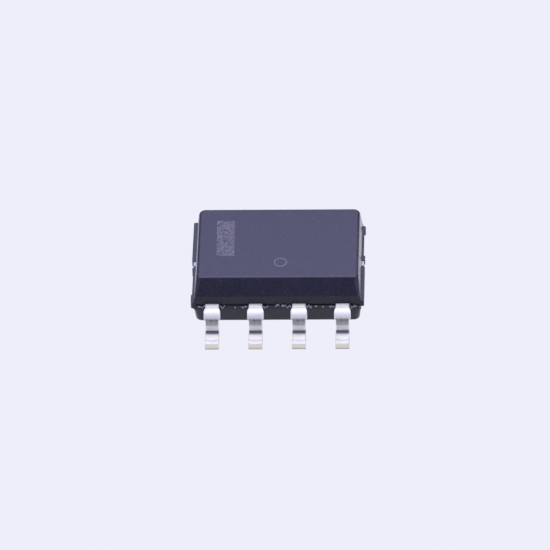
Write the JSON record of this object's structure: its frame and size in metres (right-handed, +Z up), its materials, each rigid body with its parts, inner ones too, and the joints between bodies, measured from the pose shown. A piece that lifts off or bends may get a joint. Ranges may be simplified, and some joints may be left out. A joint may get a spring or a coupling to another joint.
{
  "type": "soic chip",
  "caption": "Small-outline surface-mount integrated circuit: black moulded body with a chamfered long edge and two rows of tin-plated gull-wing leads.",
  "frame": {"origin": "on the seating plane under the feet, below the middle of the part", "axes": "+Z up from the board, X along the two rows of leads, -Y towards the chamfered side that carries leads 1 to 4"},
  "size_m": [0.0051, 0.006, 0.0015],
  "materials": {
    "mold_compound": "satin moulded epoxy",
    "tin_plate": "matte tin plate",
    "lead_frame_copper": "sheared copper alloy",
    "silver_epoxy": "cured paste",
    "silicon": "polished",
    "gold_wire": "bright drawn wire"
  },
  "bodies": {
    "root": {"mold_body": "mold_compound", "lead_1": "tin_plate", "lead_2": "tin_plate", "lead_3": "tin_plate", "lead_4": "tin_plate", "lead_5": "tin_plate", "lead_6": "tin_plate", "lead_7": "tin_plate", "lead_8": "tin_plate", "die_pad": "lead_frame_copper", "die_attach": "silver_epoxy", "silicon_die": "silicon", "bond_wire_1": "gold_wire", "bond_wire_2": "gold_wire", "bond_wire_3": "gold_wire", "bond_wire_4": "gold_wire", "bond_wire_5": "gold_wire", "bond_wire_6": "gold_wire", "bond_wire_7": "gold_wire", "bond_wire_8": "gold_wire"}
  },
  "joints": []
}
